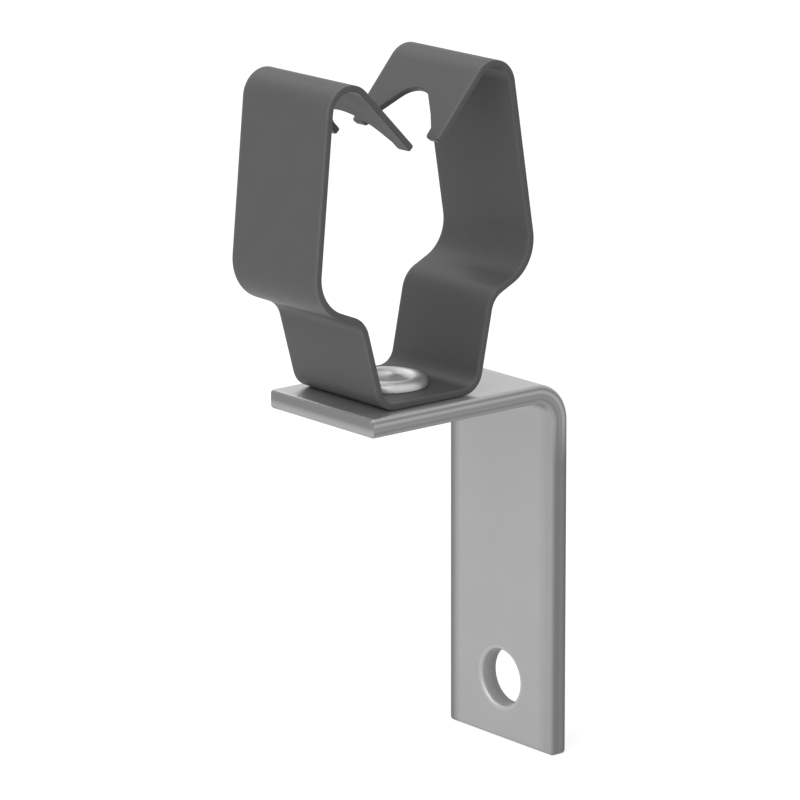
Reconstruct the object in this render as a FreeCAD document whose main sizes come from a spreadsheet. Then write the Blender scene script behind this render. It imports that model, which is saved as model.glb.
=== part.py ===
import FreeCAD, Part
import math
import os
from collections import namedtuple
import Sketcher

# A push-in spring clip for conduit, riveted to an angle bracket for one fixing screw.
# Millimetres and degrees. The origin is the centre of the fixing hole, on the bracket's
# wall face. +X points into the wall, Y runs along the conduit and +Z is up.

SIZES = {
    # Angle bracket: a punched and bent strip of plated steel
    "bracket_width": 19.5,
    "bracket_thickness": 2.35,
    "bracket_leg_height": 47.3,
    "bracket_arm_length": 30.5,
    "bracket_bend_inside": 2.7,
    "bracket_edge_round": 0.5,
    "fixing_hole_diameter": 7.1,
    "fixing_hole_from_end": 7.8,
    "fixing_hole_rim_round": 0.45,
    "rivet_hole_from_end": 10.3,
    # Spring clip: one hardened strip, bent to shape
    "strip_width": 16.0,
    "strip_thickness": 0.8,
    "strip_edge_break": 0.12,
    "base_half_flat": 5.25,
    "base_bend_inside": 2.1,
    "lower_arm_straight": 7.65,
    "lower_arm_flare": 13.4,
    "waist_bend_outside": 2.7,
    "shoulder_straight": 2.1,
    "shoulder_rise": 23.6,
    "shoulder_bend_inside": 4.7,
    "upper_arm_straight": 18.9,
    "upper_arm_lean": 7.3,
    "fold_inside": 2.5,
    "tab_slope": 47.7,
    "front_tab_length": 10.35,
    "rear_tab_length": 9.55,
    # Both arms stand this much further forwards than a symmetrical clip's
    "arm_set": 1.8,
    # Notch that leaves two prongs on the end of each tab, with parallel sides at their tips
    "notch_depth": 5.95,
    "front_notch_radius": 5.4,
    "rear_notch_radius": 3.8,
    "notch_half_mouth": 5.6,
    "notch_run_out": 2.0,
    "prong_straight": 1.35,
    "prong_corner_round": 0.45,
    # Tubular rivet that the clip turns on
    "rivet_bore_diameter": 5.2,
    "rivet_wall": 0.6,
    "rivet_roll_radius": 1.15,
    "rivet_head_diameter": 10.4,
    "rivet_head_thickness": 0.9,
    "rivet_head_chamfer": 0.3,
    "rivet_fit": 0.03,
    "swivel_play": 0.05,
}

# The arms of the clip, and the way each stands out from the swivel axis along X
ARMS = {"front": -1, "rear": 1}

# The bends of an arm from the base upwards. Each has its hollow face and the radius there,
# the straight run that follows it, and that run's slope outwards from upright, which is
# the start angle plus or minus a size.
Bend = namedtuple("Bend", "hollow radius run start sense slope")
BENDS = [
    Bend("inner", "base_bend_inside", "lower_arm_straight", 0, 1, "lower_arm_flare"),
    Bend("outer", "waist_bend_outside", "shoulder_straight", 90, -1, "shoulder_rise"),
    Bend("inner", "shoulder_bend_inside", "upper_arm_straight", 0, -1, "upper_arm_lean"),
    Bend("inner", "fold_inside", "{arm}_tab_length", -90, -1, "tab_slope"),
]

# Sketch geometry that every sketch has: its two axes, and the vertex that is its origin
H_AXIS = -1
V_AXIS = -2
ORIGIN = (-1, 1)

# The vertices of a line or an arc
START, END, CENTRE = range(1, 4)

# A cut that clears one sheet only is this many times as deep as the sheet is thick
CUT_DEPTH = 4

# Two lengths closer than this are the same
SAME = 0.01


def point(x, y):
    """A point or a vector in a sketch."""
    return FreeCAD.Vector(x, y, 0)


def towards(degrees):
    """The unit vector at an angle from the sketch's first axis."""
    return point(math.cos(math.radians(degrees)), math.sin(math.radians(degrees)))


def bearing(vector):
    """The angle of a vector from the sketch's first axis, in radians."""
    return math.atan2(vector.y, vector.x)


def tie(sketch, kind, *where):
    """Add a constraint that has no size."""
    sketch.addConstraint(Sketcher.Constraint(kind, *where))


def dimension(sketch, name, expression, value, kind, *where):
    """Add a named dimension to a sketch and bind it to an expression."""
    index = sketch.addConstraint(Sketcher.Constraint(kind, *where, value))
    sketch.renameConstraint(index, name)
    sketch.setExpression(f"Constraints.{name}", expression)


def reading(sketch, name, kind, *where):
    """Add a named dimension that only reports what the sketch measures."""
    index = sketch.addConstraint(Sketcher.Constraint(kind, *where, 1.0))
    sketch.setDriving(index, False)
    sketch.renameConstraint(index, name)


class Chain:
    """Lines and arcs drawn end to end in a sketch, each joined to the one before it."""

    def __init__(self, sketch, pen, vertex=None):
        self.sketch = sketch
        self.pen = pen
        self.vertex = vertex
        self.first = vertex

    def join(self, kind, near, far):
        """Tie a new piece to the chain at its near vertex and go on from its far one."""
        if self.vertex:
            tie(self.sketch, kind, *self.vertex, *near)
        else:
            self.first = near
        self.vertex = far

    def line(self, to, join="Coincident"):
        """Draw a line to a point."""
        index = self.sketch.addGeometry(Part.LineSegment(self.pen, to), False)
        self.join(join, (index, START), (index, END))
        self.pen = to
        return index

    def arc(self, centre, to, turn, join="Tangent"):
        """Draw an arc to a point, anticlockwise where turn is positive."""
        ends = (self.pen, to) if turn > 0 else (to, self.pen)
        near, far = (START, END) if turn > 0 else (END, START)
        circle = Part.Circle(centre, FreeCAD.Vector(0, 0, 1), (to - centre).Length)
        angles = [bearing(end - centre) for end in ends]
        index = self.sketch.addGeometry(Part.ArcOfCircle(circle, *angles), False)
        self.join(join, (index, near), (index, far))
        self.pen = to
        return index

    def close(self):
        """Tie the last piece to the first."""
        tie(self.sketch, "Coincident", *self.vertex, *self.first)


def new_body(label):
    """Start the body of one piece."""
    body = doc.addObject("PartDesign::Body", label)
    body.Label = label
    return body


def new_sketch(body, name, role):
    """Start a sketch on one of the body's own origin planes."""
    sketch = body.newObject("Sketcher::SketchObject", name)
    plane = next(item for item in body.Origin.OriginFeatures if item.Role == role)
    sketch.AttachmentSupport = [(plane, "")]
    sketch.MapMode = "FlatFace"
    return sketch


def pad_across(body, sketch, name, width):
    """Extrude a profile to both sides of its plane."""
    pad = body.newObject("PartDesign::Pad", name)
    pad.Profile = sketch
    pad.SideType = "Symmetric"
    pad.setExpression("Length", width)
    doc.recompute()
    return pad


def cut_sheet(body, sketch, name, thickness):
    """Cut a sketch's outline through the sheet that its plane lies on."""
    pocket = body.newObject("PartDesign::Pocket", name)
    pocket.Profile = sketch
    pocket.SideType = "Symmetric"
    pocket.setExpression("Length", f"{CUT_DEPTH} * {thickness}")
    doc.recompute()
    return pocket


def dress_edges(body, base, kind, name, size, edges=None):
    """Round or chamfer the given edges of a feature, or all of them."""
    feature = body.newObject(f"PartDesign::{kind}", name)
    feature.Base = (base, edges or [])
    feature.UseAllEdges = edges is None
    feature.setExpression("Radius" if kind == "Fillet" else "Size", size)
    doc.recompute()
    return feature


def edges_where(feature, test):
    """The names of a feature's edges that pass a test."""
    edges = enumerate(feature.Shape.Edges, start=1)
    return [f"Edge{number}" for number, edge in edges if test(edge)]


def draw_bracket(sketch):
    """The bracket seen from its side: the hanging leg, the bend and the top leg."""
    inside = SIZES["bracket_bend_inside"]
    thickness = SIZES["bracket_thickness"]
    outside = inside + thickness
    bottom = -SIZES["fixing_hole_from_end"]
    top = bottom + SIZES["bracket_leg_height"]
    front = -SIZES["bracket_arm_length"]
    centre = point(-outside, top - outside)

    chain = Chain(sketch, point(0, bottom))
    wall_face = chain.line(point(0, centre.y))
    outer_bend = chain.arc(centre, point(centre.x, top), 1)
    top_face = chain.line(point(front, top), "Tangent")
    front_end = chain.line(point(front, top - thickness))
    under_face = chain.line(point(centre.x, top - thickness))
    inner_bend = chain.arc(centre, point(-thickness, centre.y), -1)
    leg_face = chain.line(point(-thickness, bottom), "Tangent")
    leg_end = chain.line(point(0, bottom))
    chain.close()

    tie(sketch, "PointOnObject", wall_face, START, V_AXIS)
    tie(sketch, "Coincident", inner_bend, CENTRE, outer_bend, CENTRE)
    for line in (wall_face, front_end, leg_face):
        tie(sketch, "Vertical", line)
    for line in (top_face, under_face, leg_end):
        tie(sketch, "Horizontal", line)
    dimension(sketch, "bend_inside", "Sizes.bracket_bend_inside", inside, "Radius", inner_bend)
    dimension(sketch, "bend_outside", "Sizes.bracket_bend_inside + Sizes.bracket_thickness",
              outside, "Radius", outer_bend)
    dimension(sketch, "hole_from_end", "Sizes.fixing_hole_from_end", -bottom,
              "DistanceY", wall_face, START, *ORIGIN)
    dimension(sketch, "leg_height", "Sizes.bracket_leg_height", top - bottom,
              "DistanceY", wall_face, START, top_face, END)
    dimension(sketch, "arm_length", "Sizes.bracket_arm_length", -front,
              "DistanceX", top_face, END, *ORIGIN)


def draw_circle(sketch, diameter, value):
    """A round hole about the sketch's origin."""
    circle = Part.Circle(point(0, 0), FreeCAD.Vector(0, 0, 1), value / 2)
    hole = sketch.addGeometry(circle, False)
    tie(sketch, "Coincident", hole, CENTRE, *ORIGIN)
    dimension(sketch, "diameter", diameter, value, "Diameter", hole)


def draw_strip(sketch):
    """The clip seen along the conduit: the base, and both arms walked outwards from it."""
    half = SIZES["base_half_flat"]
    heights = {"inner": SIZES["strip_thickness"], "outer": 0.0}
    base = {}
    for face, height in heights.items():
        line = Part.LineSegment(point(-half, height), point(half, height))
        base[face] = sketch.addGeometry(line, False)
    tie(sketch, "Symmetric", base["inner"], START, base["inner"], END, V_AXIS)
    tie(sketch, "PointOnObject", base["outer"], START, H_AXIS)
    dimension(sketch, "base_flat", "2 * Sizes.base_half_flat", 2 * half, "Distance", base["inner"])

    for arm, side in ARMS.items():
        heading = 90 - 90 * side
        vertex = END if side > 0 else START
        chains = {}
        for face, height in heights.items():
            chains[face] = Chain(sketch, point(side * half, height), (base[face], vertex))
        for bend in BENDS:
            heading, tab = draw_bend(sketch, arm, heading, bend, chains)
        reading(sketch, f"{arm}_tab_x", "DistanceX", *ORIGIN, tab["inner"], START)
        reading(sketch, f"{arm}_tab_z", "DistanceY", *ORIGIN, tab["inner"], START)

        tip = sketch.addGeometry(Part.LineSegment(chains["inner"].pen, chains["outer"].pen), False)
        tie(sketch, "Coincident", tip, START, *chains["inner"].vertex)
        tie(sketch, "Coincident", tip, END, *chains["outer"].vertex)
        tie(sketch, "Perpendicular", tip, tab["inner"])
        tie(sketch, "Parallel", tab["outer"], tab["inner"])


def draw_bend(sketch, arm, heading, bend, chains):
    """One bend and the run after it, on both faces. Returns the run's heading and lines."""
    side = ARMS[arm]
    run = bend.run.format(arm=arm)
    toward = 1 if bend.hollow == "inner" else -1
    back = "outer" if bend.hollow == "inner" else "inner"
    radii = {bend.hollow: SIZES[bend.radius], back: SIZES[bend.radius] + SIZES["strip_thickness"]}
    inward = towards(heading + 90 * side) * toward
    centre = chains[bend.hollow].pen + inward * radii[bend.hollow]

    heading = 90 - side * (bend.start + bend.sense * SIZES[bend.slope]) + SIZES["arm_set"]
    inward = towards(heading + 90 * side) * toward
    arcs = {}
    runs = {}
    for face, chain in chains.items():
        arcs[face] = chain.arc(centre, centre - inward * radii[face], side * toward)
        runs[face] = chain.line(chain.pen + towards(heading) * SIZES[run], "Tangent")
    tie(sketch, "Coincident", arcs["inner"], CENTRE, arcs["outer"], CENTRE)

    radius = f"Sizes.{bend.radius}"
    dimension(sketch, f"{arm}_{bend.radius}", radius, radii[bend.hollow],
              "Radius", arcs[bend.hollow])
    dimension(sketch, f"{arm}_{bend.radius}_back", f"{radius} + Sizes.strip_thickness", radii[back],
              "Radius", arcs[back])
    dimension(sketch, f"{arm}_{bend.slope}_run", f"Sizes.{run}", SIZES[run], "Distance", runs["inner"])
    slope = f"({bend.start} + ({bend.sense}) * Sizes.{bend.slope})"
    dimension(sketch, f"{arm}_{bend.slope}", f"90 - ({side}) * {slope} + Sizes.arm_set",
              math.radians(heading), "Angle", runs["inner"])
    return heading, runs


def draw_notch(sketch, arm):
    """The notch in a tab: a round root, two straight flanks and sides that run out past the tip."""
    root = SIZES[f"{arm}_notch_radius"]
    tip = SIZES[f"{arm}_tab_length"]
    mouth = SIZES["notch_half_mouth"]
    flank_end = tip - SIZES["prong_straight"]
    beyond = tip + SIZES["notch_run_out"]
    centre = point(tip - SIZES["notch_depth"] + root, 0)

    # A flank touches the root arc, so it is square to the radius at the place where they meet
    corner = point(flank_end, mouth) - centre
    lean = math.degrees(bearing(corner) + math.acos(root / corner.Length))

    chain = Chain(sketch, point(beyond, -mouth))
    lower_side = chain.line(point(flank_end, -mouth))
    chain.line(centre + towards(-lean) * root)
    root_arc = chain.arc(centre, centre + towards(lean) * root, -1)
    chain.line(point(flank_end, mouth), "Tangent")
    upper_side = chain.line(point(beyond, mouth))
    chain.line(point(beyond, -mouth))
    chain.close()

    tie(sketch, "PointOnObject", root_arc, CENTRE, H_AXIS)
    tie(sketch, "Symmetric", lower_side, START, upper_side, END, H_AXIS)
    tie(sketch, "Symmetric", lower_side, END, upper_side, START, H_AXIS)
    tie(sketch, "Horizontal", upper_side)
    dimension(sketch, "root_centre",
              f"Sizes.{arm}_tab_length - Sizes.notch_depth + Sizes.{arm}_notch_radius",
              centre.x, "DistanceX", *ORIGIN, root_arc, CENTRE)
    dimension(sketch, "root_radius", f"Sizes.{arm}_notch_radius", root, "Radius", root_arc)
    dimension(sketch, "flank_end", f"Sizes.{arm}_tab_length - Sizes.prong_straight", flank_end,
              "DistanceX", *ORIGIN, upper_side, START)
    dimension(sketch, "half_mouth", "Sizes.notch_half_mouth", mouth,
              "DistanceY", *ORIGIN, upper_side, START)
    dimension(sketch, "side_length", "Sizes.prong_straight + Sizes.notch_run_out",
              beyond - flank_end, "Distance", upper_side)


def draw_rivet(sketch):
    """Half of the rivet cut through its axis: the head, the tube and the end rolled over."""
    bore = SIZES["rivet_bore_diameter"] / 2
    tube = bore + SIZES["rivet_wall"]
    head = SIZES["rivet_head_diameter"] / 2
    roll = SIZES["rivet_roll_radius"]
    seat = -SIZES["bracket_thickness"]
    bottom = seat - SIZES["rivet_head_thickness"]
    centre = point(bore + roll, SIZES["strip_thickness"] + 2 * SIZES["swivel_play"])

    chain = Chain(sketch, point(bore, bottom))
    bore_wall = chain.line(point(bore, centre.y))
    roll_face = chain.arc(centre, point(centre.x + roll, centre.y), -1)
    roll_seat = chain.line(point(tube, centre.y))
    tube_wall = chain.line(point(tube, seat))
    head_top = chain.line(point(head, seat))
    head_side = chain.line(point(head, bottom))
    head_face = chain.line(point(bore, bottom))
    chain.close()

    tie(sketch, "PointOnObject", roll_face, CENTRE, roll_seat)
    for line in (bore_wall, tube_wall, head_side):
        tie(sketch, "Vertical", line)
    for line in (roll_seat, head_top, head_face):
        tie(sketch, "Horizontal", line)
    dimension(sketch, "bore_radius", "Sizes.rivet_bore_diameter / 2", bore,
              "DistanceX", *ORIGIN, bore_wall, START)
    dimension(sketch, "wall", "Sizes.rivet_wall", tube - bore,
              "DistanceX", head_face, END, head_top, START)
    dimension(sketch, "roll_radius", "Sizes.rivet_roll_radius", roll, "Radius", roll_face)
    dimension(sketch, "roll_height", "Sizes.strip_thickness + 2 * Sizes.swivel_play", centre.y,
              "DistanceY", *ORIGIN, roll_face, CENTRE)
    dimension(sketch, "head_radius", "Sizes.rivet_head_diameter / 2", head,
              "DistanceX", *ORIGIN, head_side, START)
    dimension(sketch, "seat_depth", "Sizes.bracket_thickness", -seat,
              "DistanceY", head_side, START, *ORIGIN)
    dimension(sketch, "head_thickness", "Sizes.rivet_head_thickness", seat - bottom,
              "DistanceY", head_side, END, head_side, START)


doc = FreeCAD.newDocument("conduit_clip")
sheet = doc.addObject("Spreadsheet::Sheet", "Sizes")
for row, (name, value) in enumerate(SIZES.items(), start=1):
    sheet.set(f"A{row}", name)
    sheet.set(f"B{row}", str(value))
    sheet.setAlias(f"B{row}", name)
doc.recompute()

RIVET_X = "Sizes.rivet_hole_from_end - Sizes.bracket_arm_length"
BRACKET_TOP = "Sizes.bracket_leg_height - Sizes.fixing_hole_from_end"
TUBE_DIAMETER = "Sizes.rivet_bore_diameter + 2 * Sizes.rivet_wall"
tube_diameter = SIZES["rivet_bore_diameter"] + 2 * SIZES["rivet_wall"]

# Angle bracket: a bent strip, punched for the fixing screw and the rivet
bracket = new_body("angle_bracket")
profile = new_sketch(bracket, "BracketProfile", "XZ_Plane")
draw_bracket(profile)
strip = pad_across(bracket, profile, "BracketStrip", "Sizes.bracket_width")
dress_edges(bracket, strip, "Fillet", "BracketEdges", "Sizes.bracket_edge_round")

# The fixing hole is punched from the screw's side, so its rim is drawn in on that face
hole = new_sketch(bracket, "FixingHoleCentre", "YZ_Plane")
draw_circle(hole, "Sizes.fixing_hole_diameter", SIZES["fixing_hole_diameter"])
doc.recompute()
fixing_hole = bracket.newObject("PartDesign::Hole", "FixingHole")
fixing_hole.Profile = hole
fixing_hole.DepthType = "ThroughAll"
fixing_hole.setExpression("Diameter", "Sizes.fixing_hole_diameter")
doc.recompute()
rim = edges_where(
    fixing_hole,
    lambda edge: edge.isClosed()
    and abs(edge.CenterOfMass.x + SIZES["bracket_thickness"]) < SAME,
)
dress_edges(bracket, fixing_hole, "Fillet", "FixingHoleRim", "Sizes.fixing_hole_rim_round", rim)

hole = new_sketch(bracket, "RivetHoleInBracket", "XY_Plane")
hole.setExpression("AttachmentOffset.Base.x", RIVET_X)
hole.setExpression("AttachmentOffset.Base.z", BRACKET_TOP)
draw_circle(hole, f"{TUBE_DIAMETER} + 2 * Sizes.rivet_fit", tube_diameter + 2 * SIZES["rivet_fit"])
cut_sheet(bracket, hole, "RivetHole", "Sizes.bracket_thickness")

# Spring clip: a bent strip with notched tabs and a hole that turns on the rivet
clip = new_body("conduit_clip")
clip.setExpression("Placement.Base.x", RIVET_X)
clip.setExpression("Placement.Base.z", f"{BRACKET_TOP} + Sizes.swivel_play")
profile = new_sketch(clip, "StripProfile", "XZ_Plane")
draw_strip(profile)
pad_across(clip, profile, "BentStrip", "Sizes.strip_width")

# Each notch is drawn on the under face of its tab, from the fold towards the tip
for arm, side in ARMS.items():
    notch = new_sketch(clip, f"{arm.capitalize()}Notch", "XY_Plane")
    slope = FreeCAD.Rotation(FreeCAD.Vector(0, 1, 0), SIZES["tab_slope"])
    notch.AttachmentOffset = FreeCAD.Placement(FreeCAD.Vector(0, 0, 0), slope)
    notch.setExpression("AttachmentOffset.Base.x", f"StripProfile.Constraints.{arm}_tab_x")
    notch.setExpression("AttachmentOffset.Base.z", f"StripProfile.Constraints.{arm}_tab_z")
    notch.setExpression("AttachmentOffset.Rotation.Angle",
                        f"{90 + 90 * side} - ({side}) * Sizes.tab_slope - Sizes.arm_set")
    draw_notch(notch, arm)
    prongs = cut_sheet(clip, notch, f"{arm.capitalize()}Prongs", "Sizes.strip_thickness")

corners = edges_where(
    prongs,
    lambda edge: abs(edge.Length - SIZES["strip_thickness"]) < SAME
    and abs(edge.CenterOfMass.y) > SIZES["notch_half_mouth"] - SAME,
)
rounded = dress_edges(clip, prongs, "Fillet", "ProngCorners", "Sizes.prong_corner_round", corners)
dress_edges(clip, rounded, "Chamfer", "StripEdges", "Sizes.strip_edge_break")

hole = new_sketch(clip, "RivetHoleInClip", "XY_Plane")
draw_circle(hole, f"{TUBE_DIAMETER} + 2 * Sizes.swivel_play",
            tube_diameter + 2 * SIZES["swivel_play"])
cut_sheet(clip, hole, "SwivelHole", "Sizes.strip_thickness")

# Rivet: headed under the bracket, with its end rolled outwards over the base of the clip
rivet = new_body("rivet")
rivet.setExpression("Placement.Base.x", RIVET_X)
rivet.setExpression("Placement.Base.z", BRACKET_TOP)
profile = new_sketch(rivet, "RivetProfile", "XZ_Plane")
draw_rivet(profile)
turned = rivet.newObject("PartDesign::Revolution", "RivetBlank")
turned.Profile = profile
turned.ReferenceAxis = (profile, ["V_Axis"])
turned.Angle = 360
doc.recompute()
rims = edges_where(
    turned,
    lambda edge: edge.isClosed()
    and abs(edge.CenterOfMass.z - turned.Shape.BoundBox.ZMin) < SAME,
)
dress_edges(rivet, turned, "Chamfer", "HeadRims", "Sizes.rivet_head_chamfer", rims)

doc.recompute()
for item in doc.Objects:
    if "Invalid" in item.State or "Error" in item.State:
        raise RuntimeError(f"{item.Label} did not recompute: {item.State}")
os.makedirs("parts", exist_ok=True)
for piece in (bracket, clip, rivet):
    if piece.Shape.isNull() or not piece.Shape.isValid():
        raise RuntimeError(f"{piece.Label} has no valid shape")
    piece.Shape.exportStep(f"parts/{piece.Label}.step")
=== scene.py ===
import math

import bpy
from mathutils import Matrix, Vector


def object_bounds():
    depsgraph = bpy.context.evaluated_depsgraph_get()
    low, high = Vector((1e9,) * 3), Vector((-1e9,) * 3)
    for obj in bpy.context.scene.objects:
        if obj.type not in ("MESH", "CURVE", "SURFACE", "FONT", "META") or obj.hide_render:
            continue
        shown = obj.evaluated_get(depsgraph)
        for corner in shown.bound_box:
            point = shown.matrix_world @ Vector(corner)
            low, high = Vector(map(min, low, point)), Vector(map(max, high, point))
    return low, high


# The looks of a push-in conduit clip on an angle bracket, in metres and in the frame's axes:
# +X into the wall, Y along the conduit, +Z up.

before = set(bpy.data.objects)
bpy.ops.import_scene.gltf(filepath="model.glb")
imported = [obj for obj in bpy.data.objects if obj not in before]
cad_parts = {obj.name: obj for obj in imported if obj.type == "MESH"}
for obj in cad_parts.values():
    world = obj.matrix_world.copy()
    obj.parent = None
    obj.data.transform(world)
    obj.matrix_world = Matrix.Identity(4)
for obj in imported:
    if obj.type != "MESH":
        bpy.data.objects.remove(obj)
cad_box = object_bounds()


class Nodes:
    """Short calls for building one node tree."""

    def __init__(self, tree):
        self.tree = tree
        tree.nodes.clear()

    def add(self, kind, inputs=None, **settings):
        """Add a node, set its properties, and set or link its inputs."""
        node = self.tree.nodes.new(kind)
        for name, value in settings.items():
            setattr(node, name, value)
        for name, value in (inputs or {}).items():
            if isinstance(value, bpy.types.NodeSocket):
                self.tree.links.new(value, node.inputs[name])
            else:
                node.inputs[name].default_value = value
        return node

    def noise(self, place, scale, detail=3.0, roughness=0.5):
        """Soft random mottling, from 0 to 1, its scale in cells per metre."""
        inputs = {"Vector": place, "Scale": scale, "Detail": detail, "Roughness": roughness}
        return self.add("ShaderNodeTexNoise", inputs).outputs["Fac"]

    def streaks(self, place, scales, detail):
        """Soft random streaks, from 0 to 1, with a scale for each axis."""
        stretched = self.add("ShaderNodeMapping", {"Vector": place, "Scale": scales})
        return self.noise(stretched.outputs["Vector"], 1.0, detail)

    def ramp(self, value, low, high, start=0.0, end=1.0):
        """Map a value from one range to another, and keep it inside that one."""
        inputs = {"Value": value, "From Min": start, "From Max": end, "To Min": low, "To Max": high}
        return self.add("ShaderNodeMapRange", inputs).outputs["Result"]

    def value(self, operation, first, second):
        """Arithmetic on two values."""
        node = self.add("ShaderNodeMath", {0: first, 1: second}, operation=operation)
        return node.outputs["Value"]

    def mix(self, share, first, second):
        """Blend two values."""
        inputs = {"Factor": share, "A": first, "B": second}
        return self.add("ShaderNodeMix", inputs).outputs["Result"]

    def vector(self, operation, first, second=(0.0, 0.0, 0.0), output="Vector"):
        """Arithmetic on two vectors."""
        node = self.add("ShaderNodeVectorMath", {0: first, 1: second}, operation=operation)
        return node.outputs[output]

    def part(self, vector, axis):
        """One coordinate of a vector."""
        return self.add("ShaderNodeSeparateXYZ", {"Vector": vector}).outputs[axis]

    def profile(self, value, stops):
        """Straight lines between stops, each a place from 0 to 1 and the value there."""
        node = self.add("ShaderNodeValToRGB", {"Fac": value})
        ends = node.color_ramp.elements
        for place, _ in stops[1:-1]:
            ends.new(place)
        for stop, (place, tone) in zip(ends, stops):
            stop.position = place
            stop.color = (tone, tone, tone, 1.0)
        return node.outputs["Color"]

    def grey(self, value):
        """A neutral colour from a value."""
        node = self.add("ShaderNodeCombineColor", {"Red": value, "Green": value, "Blue": value})
        return node.outputs["Color"]

    def bump(self, height, distance):
        """Fine relief, its depth in metres."""
        inputs = {"Height": height, "Distance": distance, "Strength": 1.0}
        return self.add("ShaderNodeBump", inputs).outputs["Normal"]

    def surface(self, shader):
        """Make a shader the material's surface."""
        self.add("ShaderNodeOutputMaterial", {"Surface": shader})

    def principled(self, inputs):
        """Make a Principled shader the material's surface."""
        self.surface(self.add("ShaderNodeBsdfPrincipled", inputs).outputs["BSDF"])


def new_material(name):
    """A material and the nodes to build it with."""
    material = bpy.data.materials.new(name)
    material.use_nodes = True
    return material, Nodes(material.node_tree)


# The clip's dark oxide: lowest and highest tone and roughness, its specular level, the scales
# of its mottling and of its fine grain, and the depth of that grain
OXIDE_TONES = (0.066, 0.082)
OXIDE_ROUGHNESS = (0.40, 0.52)
OXIDE_SPECULAR = 0.32
OXIDE_MOTTLE = 320.0
OXIDE_GRAIN = 2500.0
OXIDE_RELIEF = 0.000004

# The streaks that rolling left in it: what they take from the tone and add to it, their scales
STREAK_TONES = (-0.004, 0.004)
STREAK_SCALES = (4000.0, 4000.0, 90.0)

# A painted highlight along the strip's long edges, which makes them lighter than its middle:
# shares of the tone, from this far inside the edge to the cut face
HIGHLIGHT_REACH = 0.0007
EDGE_PAINTED_HIGHLIGHT = [(0.0, 0.75), (0.30, 0.75), (0.65, 1.0), (0.85, 1.0), (1.0, 0.86)]


def spring_steel(box):
    """Dark oxide finish on rolled strip: even and satin, with faint rolling streaks and a painted
    highlight along its long edges.
    """
    material, nodes = new_material("spring_steel")
    place = nodes.add("ShaderNodeTexCoord").outputs["Object"]
    mottle = nodes.noise(place, OXIDE_MOTTLE)
    streaks = nodes.streaks(place, STREAK_SCALES, detail=2.0)
    tone = nodes.value("ADD", nodes.ramp(mottle, *OXIDE_TONES), nodes.ramp(streaks, *STREAK_TONES))

    # A painted highlight: the tone is lighter near the strip's long edges than in its middle
    from_middle = nodes.value("ABSOLUTE", nodes.part(place, "Y"), 0.0)
    into_highlight = nodes.ramp(from_middle, 0.0, 1.0, box[1].y - HIGHLIGHT_REACH, box[1].y)
    tone = nodes.value("MULTIPLY", tone, nodes.profile(into_highlight, EDGE_PAINTED_HIGHLIGHT))
    nodes.principled({
        "Base Color": nodes.grey(tone),
        "Metallic": 0.0,
        "Roughness": nodes.ramp(mottle, *OXIDE_ROUGHNESS),
        "Specular IOR Level": OXIDE_SPECULAR,
        "Normal": nodes.bump(nodes.noise(place, OXIDE_GRAIN), OXIDE_RELIEF),
    })
    return material


# The bracket's zinc plate: lowest and highest tone and roughness of its blotches, their scale,
# what the grain takes from the roughness and adds to it, the grain's scales, the scale and the
# depth of the relief, and what shearing adds to the roughness
ZINC_TONES = (0.330, 0.365)
ZINC_ROUGHNESS = (0.33, 0.41)
ZINC_BLOTCHES = 170.0
GRAIN_ROUGHNESS = (-0.03, 0.03)
GRAIN_SCALES = (3000.0, 3000.0, 300.0)
ZINC_PORES = 1800.0
ZINC_RELIEF = 0.000003
SHEARED_ROUGHNESS = 0.18

# How metallic zinc plate is, on the bracket and on the rivet
ZINC_METALLIC = 0.85

# The bracket's section: its thickness and the outside radius of its bend
SHEET = 0.00235
BEND_OUTSIDE = 0.00505

# The end face lies within this distance of the bracket's front, and the fixing hole with its
# rim within this distance of the X axis
END_REACH = 0.1 * SHEET
HOLE_REACH = 0.0041

# Shares of the plain tone from the outer face to the inner one: along the sides of the top leg
# and of the hanging leg, across the end, and in the hole. They are partly the sheared edge's own
# burnish and fracture bands and partly painted light: the first stop of the side, leg and end
# profiles makes the whole outer face lighter, their next stops paint a highlight along the outer
# arris, and in the hole the bore is painted darker towards its outer end as painted shade, with a
# painted highlight ring at its inner rim
SIDE_SHEAR_PAINTED_LIGHT = [(0.0, 1.44), (0.02, 1.44), (0.06, 1.25), (0.19, 0.58), (0.335, 1.10),
              (0.50, 0.66), (0.60, 0.76), (0.745, 0.58), (0.90, 0.90), (1.0, 1.0)]
LEG_SHEAR_PAINTED_LIGHT = [(0.0, 1.44), (0.03, 0.90), (0.08, 0.40), (0.18, 0.40), (0.33, 0.54),
             (0.47, 0.57), (0.63, 0.51), (0.85, 0.54), (0.96, 0.80), (1.0, 1.0)]
END_SHEAR_PAINTED_LIGHT = [(0.0, 1.44), (0.02, 0.57), (0.15, 0.53), (0.45, 0.56), (0.60, 0.83),
             (0.75, 0.98), (1.0, 1.0)]
HOLE_PAINTED_SHADE_HIGHLIGHT = [(0.0, 0.62), (0.25, 0.62), (0.60, 0.80), (0.78, 0.90), (0.90, 1.20), (1.0, 1.15)]

# The depths at which a surface is a sheared one, and the depths over which the inner face's
# painted edge shade sets in
SHEARED_BANDS = [(0.0, 0.0), (0.03, 1.0), (0.97, 1.0), (1.0, 0.0)]
INNER_DEPTHS = (0.8, 1.0)

# Painted shade across the inner face's whole width: darker near its two long edges
INNER_EDGE_PAINTED_SHADE = [(0.0, 0.86), (0.06, 0.87), (0.14, 1.0), (0.89, 1.0), (0.92, 0.89),
              (0.945, 0.68), (0.965, 0.50), (1.0, 0.50)]


def sheet_depth(nodes, place, bend_centre):
    """How deep a point lies in the bracket's sheet: 0 at the outer face, 1 at the inner one."""
    reach = nodes.vector("MAXIMUM", nodes.vector("SUBTRACT", place, bend_centre))
    reach = nodes.vector("MULTIPLY", reach, (1.0, 0.0, 1.0))
    radius = nodes.vector("LENGTH", reach, output="Value")
    return nodes.ramp(radius, 0.0, 1.0, BEND_OUTSIDE, BEND_OUTSIDE - SHEET)


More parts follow.
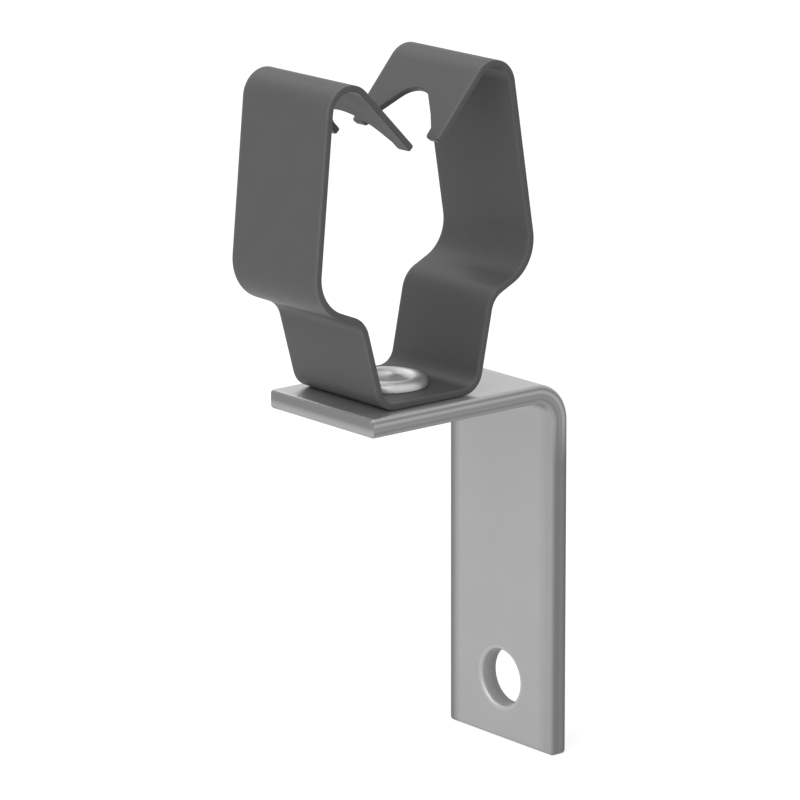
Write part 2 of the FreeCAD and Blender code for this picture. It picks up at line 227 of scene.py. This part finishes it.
def shear_and_painted_tones(nodes, place, depth, front, bend_height):
    """Shares of the plain tone at every sheared edge of the bracket: its own shear bands, with
    painted light that lightens the outer face, paints highlights on the outer arrises and the
    hole's rim, and paints shade into the bore.
    """
    at_end = nodes.value("LESS_THAN", nodes.part(place, "X"), front + END_REACH)
    off_axis = nodes.vector("MULTIPLY", place, (0.0, 1.0, 1.0))
    from_axis = nodes.vector("LENGTH", off_axis, output="Value")
    in_hole = nodes.value("LESS_THAN", from_axis, HOLE_REACH)
    on_leg = nodes.ramp(nodes.part(place, "Z"), 1.0, 0.0, bend_height - BEND_OUTSIDE, bend_height)
    shear_and_painted = nodes.mix(on_leg, nodes.profile(depth, SIDE_SHEAR_PAINTED_LIGHT), nodes.profile(depth, LEG_SHEAR_PAINTED_LIGHT))
    shear_and_painted = nodes.mix(at_end, shear_and_painted, nodes.profile(depth, END_SHEAR_PAINTED_LIGHT))
    return nodes.mix(in_hole, shear_and_painted, nodes.profile(depth, HOLE_PAINTED_SHADE_HIGHLIGHT))


def zinc_plate(box):
    """Bright zinc plate over rolled steel: soft blotches, a fine grain and sheared edges, with
    painted light and painted shade on its faces and edges.
    """
    material, nodes = new_material("zinc_plated_steel")
    place = nodes.add("ShaderNodeTexCoord").outputs["Object"]
    blotches = nodes.noise(place, ZINC_BLOTCHES, detail=4.0, roughness=0.6)
    grain = nodes.streaks(place, GRAIN_SCALES, detail=3.0)
    bend_centre = (box[1].x - BEND_OUTSIDE, 0.0, box[1].z - BEND_OUTSIDE)
    depth = sheet_depth(nodes, place, bend_centre)

    # Painted shade darkens the inner face near its two long edges
    across = nodes.ramp(nodes.part(place, "Y"), 0.0, 1.0, box[0].y, box[1].y)
    on_inner_face = nodes.ramp(depth, 0.0, 1.0, *INNER_DEPTHS)
    inner_edge_shade = nodes.mix(on_inner_face, 1.0, nodes.profile(across, INNER_EDGE_PAINTED_SHADE))
    # The sheared edges' own bands, with painted light: a lighter outer face, arris and rim
    # highlights, shade in the bore
    shear_and_painted = shear_and_painted_tones(nodes, place, depth, box[0].x, bend_centre[2])
    shear_and_painted = nodes.value("MULTIPLY", shear_and_painted, inner_edge_shade)
    tone = nodes.value("MULTIPLY", nodes.ramp(blotches, *ZINC_TONES), shear_and_painted)

    sheared = nodes.value("MULTIPLY", nodes.profile(depth, SHEARED_BANDS), SHEARED_ROUGHNESS)
    rolled = nodes.value("ADD", nodes.ramp(blotches, *ZINC_ROUGHNESS),
                         nodes.ramp(grain, *GRAIN_ROUGHNESS))
    nodes.principled({
        "Base Color": nodes.grey(tone),
        "Metallic": ZINC_METALLIC,
        "Roughness": nodes.value("ADD", rolled, sheared),
        "Normal": nodes.bump(nodes.noise(place, ZINC_PORES), ZINC_RELIEF),
    })
    return material


# The rivet: lowest and highest tone and roughness of its scuffs, their scale and their depth
RIVET_TONES = (0.56, 0.66)
RIVET_ROUGHNESS = (0.38, 0.50)
RIVET_SCUFFS = 900.0
RIVET_RELIEF = 0.000008


def rolled_steel():
    """Zinc plate burnished by the tool that rolled the rivet's end over."""
    material, nodes = new_material("rivet_steel")
    place = nodes.add("ShaderNodeTexCoord").outputs["Object"]
    scuffs = nodes.noise(place, RIVET_SCUFFS, detail=4.0, roughness=0.6)
    nodes.principled({
        "Base Color": nodes.grey(nodes.ramp(scuffs, *RIVET_TONES)),
        "Metallic": ZINC_METALLIC,
        "Roughness": nodes.ramp(scuffs, *RIVET_ROUGHNESS),
        "Normal": nodes.bump(scuffs, RIVET_RELIEF),
    })
    return material


def box_of(node):
    """The lower and upper corners of a CAD node's box."""
    sides = list(zip(*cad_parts[node].bound_box))
    return Vector([min(side) for side in sides]), Vector([max(side) for side in sides])


def dress(node, material):
    """Give a CAD node its material."""
    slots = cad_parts[node].data.materials
    slots.clear()
    slots.append(material)


dress("conduit_clip", spring_steel(box_of("conduit_clip")))
dress("angle_bracket", zinc_plate(box_of("angle_bracket")))
dress("rivet", rolled_steel())


WHITE = (1.0, 1.0, 1.0, 1.0)

# The light that the studio gives: tones of the room's upper part, of its lower part on the
# object's bright side and on its dark side, and of the floor
ROOM_HIGH = 0.70
ROOM_LOW = (0.50, 0.22)
LIT_FLOOR = (0.9, 0.9, 0.9, 1.0)

# The way from the bright side to the dark side, and how far of a direction's length the tones
# take to change, from side to side and upward
DARKER = (0.64, -0.77, 0.0)
SIDE_CHANGE = (-0.3, 0.3)
UPWARD_CHANGE = (0.0, 0.3)

# The floor where it is seen: a grey that takes the shadow, and a glow that lifts it to white
FLOOR_SIZE = 6.0
FLOOR_GREY = (0.4, 0.4, 0.4, 1.0)
FLOOR_GLOW = 0.70


def lit_or_seen(nodes, lit, seen):
    """One shader where the studio gives light, one where the eye, a mirror or a glass sees it."""
    rays = nodes.add("ShaderNodeLightPath").outputs
    share = nodes.value("MAXIMUM", rays["Is Camera Ray"], rays["Is Glossy Ray"])
    share = nodes.value("MAXIMUM", share, rays["Is Transmission Ray"])
    return nodes.add("ShaderNodeMixShader", {"Fac": share, 1: lit, 2: seen}).outputs["Shader"]


def pale_floor():
    """White with a soft shadow where it is seen."""
    material, nodes = new_material("floor")
    diffuse = nodes.add("ShaderNodeBsdfDiffuse", {"Color": FLOOR_GREY})
    glow = nodes.add("ShaderNodeEmission", {"Color": WHITE, "Strength": FLOOR_GLOW})
    seen = nodes.add("ShaderNodeAddShader",
                     {0: diffuse.outputs["BSDF"], 1: glow.outputs["Emission"]})
    lit = nodes.add("ShaderNodeEmission", {"Color": LIT_FLOOR, "Strength": 1.0})
    nodes.surface(lit_or_seen(nodes, lit.outputs["Emission"], seen.outputs["Shader"]))
    return material


def pale_room():
    """A world that is white where it is seen."""
    world = bpy.data.worlds.new("studio")
    world.use_nodes = True
    nodes = Nodes(world.node_tree)
    heading = nodes.add("ShaderNodeTexCoord").outputs["Generated"]
    toward_dark = nodes.vector("DOT_PRODUCT", heading, DARKER, "Value")
    low_tone = nodes.ramp(toward_dark, *ROOM_LOW, *SIDE_CHANGE)
    tone = nodes.ramp(nodes.part(heading, "Z"), low_tone, ROOM_HIGH, *UPWARD_CHANGE)
    lit = nodes.add("ShaderNodeBackground", {"Color": nodes.grey(tone), "Strength": 1.0})
    seen = nodes.add("ShaderNodeBackground", {"Color": WHITE, "Strength": 1.0})
    both = lit_or_seen(nodes, lit.outputs["Background"], seen.outputs["Background"])
    nodes.add("ShaderNodeOutputWorld", {"Surface": both})
    return world


def softbox(name, heading, distance, size, watts):
    """A square area light that faces the object's middle, at a distance along a heading."""
    middle = (cad_box[0] + cad_box[1]) / 2
    place = middle + distance * Vector(heading)
    lamp = bpy.data.lights.new(name, "AREA")
    lamp.shape = "SQUARE"
    lamp.size = size
    lamp.energy = watts
    holder = bpy.data.objects.new(name, lamp)
    holder.location = place
    holder.rotation_mode = "QUATERNION"
    holder.rotation_quaternion = (place - middle).to_track_quat("Z", "Y")
    bpy.context.collection.objects.link(holder)


bpy.ops.mesh.primitive_plane_add(size=FLOOR_SIZE, location=(0.0, 0.0, cad_box[0].z))
floor = bpy.context.object
floor.name = "floor"
floor.data.materials.append(pale_floor())
bpy.context.scene.world = pale_room()
softbox("key", heading=(-0.74, -0.1, 0.66), distance=0.7, size=0.7, watts=4.4)
softbox("back", heading=(0.05, 0.72, 0.68), distance=0.8, size=0.45, watts=0.6)


# The photograph's camera: where it stands, its backward axis, its roll, and its lens as a focal
# length in pixels of an 800 pixel wide picture
CAMERA_PLACE = Vector((-0.38118, -0.43859, 0.18414))
CAMERA_BACK = Vector((-0.6175, -0.7463, 0.2486)).normalized()
CAMERA_ROLL = math.radians(-0.145)
IMAGE_WIDTH = 800
FOCAL_PIXELS = 4915
SENSOR_WIDTH = 36.0

camera_data = bpy.data.cameras.new("camera")
camera_data.sensor_width = SENSOR_WIDTH
camera_data.lens = FOCAL_PIXELS / IMAGE_WIDTH * SENSOR_WIDTH
camera = bpy.data.objects.new("camera", camera_data)
bpy.context.collection.objects.link(camera)
right = Vector((0.0, 0.0, 1.0)).cross(CAMERA_BACK).normalized()
up = CAMERA_BACK.cross(right)
roll = Matrix.Rotation(CAMERA_ROLL, 3, CAMERA_BACK)
axes = Matrix((roll @ right, roll @ up, CAMERA_BACK)).transposed()
camera.matrix_world = Matrix.Translation(CAMERA_PLACE) @ axes.to_4x4()
bpy.context.scene.camera = camera
bpy.context.scene.view_settings.view_transform = "Standard"
